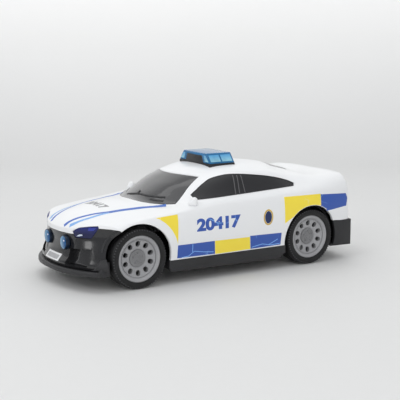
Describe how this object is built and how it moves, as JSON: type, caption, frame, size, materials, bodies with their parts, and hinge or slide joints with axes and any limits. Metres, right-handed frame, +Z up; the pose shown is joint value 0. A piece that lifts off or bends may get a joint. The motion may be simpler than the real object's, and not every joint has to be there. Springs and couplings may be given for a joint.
{
  "type": "toy police car",
  "caption": "Toy police car: white shell with dark windows on a black chassis, press-down blue light bar, friction drive to the rear wheels, light and sound box",
  "frame": {"origin": "on the ground at the middle of the car's length and width", "axes": "+X forward, +Y to the car's left, +Z up"},
  "size_m": [0.214, 0.095, 0.077],
  "materials": {
    "body_white": "glossy",
    "window_dark": "glossy",
    "trim_black": "satin",
    "headlamp_blue": "clear",
    "lamp_blue": "clear",
    "lamp_red": "clear",
    "bar_blue": "clear",
    "reflector": "bright",
    "spring_steel": "bright",
    "board_green": "satin",
    "part_black": "satin",
    "led_clear": "clear",
    "screw_steel": "bright",
    "speaker_grey": "matte",
    "cell_steel": "bright",
    "contact_brass": "bright",
    "rim_grey": "satin",
    "tyre_black": "matte",
    "frame_grey": "satin",
    "gear_white": "satin",
    "flywheel_steel": "bright"
  },
  "bodies": {
    "car": {"body_shell": "body_white", "window_insert": "window_dark", "front_fascia": "trim_black", "chassis": "trim_black", "battery_cover": "trim_black", "headlamp_left": "headlamp_blue", "headlamp_right": "headlamp_blue", "grille_lamp_left": "lamp_blue", "grille_lamp_right": "lamp_blue", "tail_lamp_left": "lamp_red", "tail_lamp_right": "lamp_red", "lightbar_spring": "spring_steel", "circuit_board": "board_green", "tact_switch": "part_black", "switch_body": "part_black", "leds": "led_clear", "board_screws": "screw_steel", "battery_screw": "screw_steel", "chassis_screws": "screw_steel", "motor_screws": "screw_steel", "speaker": "speaker_grey", "button_cells": "cell_steel", "battery_contacts": "contact_brass", "motor_frame": "frame_grey"},
    "front_wheels": {"front_axle": "screw_steel", "rim_front_left": "rim_grey", "rim_front_right": "rim_grey", "tyre_front_left": "tyre_black", "tyre_front_right": "tyre_black"},
    "rear_wheels": {"rear_axle": "screw_steel", "rim_rear_left": "rim_grey", "rim_rear_right": "rim_grey", "tyre_rear_left": "tyre_black", "tyre_rear_right": "tyre_black", "axle_gear": "gear_white"},
    "idler": {"idler_gear": "gear_white"},
    "flywheel": {"flywheel": "flywheel_steel"},
    "light_bar": {"lightbar_base": "trim_black", "lightbar_lens": "bar_blue", "lightbar_reflectors": "reflector"},
    "power_switch": {"switch_knob": "trim_black"}
  },
  "joints": [
    {"name": "front_spin", "type": "hinge", "parent": "car", "child": "front_wheels", "pos_m": [0.0662, 0, 0.019], "axis": [0, 1, 0], "continuous": true},
    {"name": "rear_spin", "type": "hinge", "parent": "car", "child": "rear_wheels", "pos_m": [-0.0662, 0, 0.019], "axis": [0, 1, 0], "continuous": true},
    {"name": "idler_spin", "type": "hinge", "parent": "car", "child": "idler", "pos_m": [-0.0576, 0, 0.02502], "axis": [0, 1, 0], "continuous": true},
    {"name": "flywheel_spin", "type": "hinge", "parent": "car", "child": "flywheel", "pos_m": [-0.04714, 0, 0.02411], "axis": [0, 1, 0], "continuous": true},
    {"name": "light_bar_press", "type": "slide", "parent": "car", "child": "light_bar", "axis": [0, 0, -1], "range_m": [0, 0.0012], "stiffness_N_per_m": 600, "springref_m": -0.001, "deforming": ["lightbar_spring"]},
    {"name": "switch_slide", "type": "slide", "parent": "car", "child": "power_switch", "axis": [1, 0, 0], "range_m": [0, 0.003]}
  ],
  "couplings": [
    {"joint": "idler_spin", "follows": "rear_spin", "ratio": -2},
    {"joint": "flywheel_spin", "follows": "rear_spin", "ratio": 4}
  ]
}
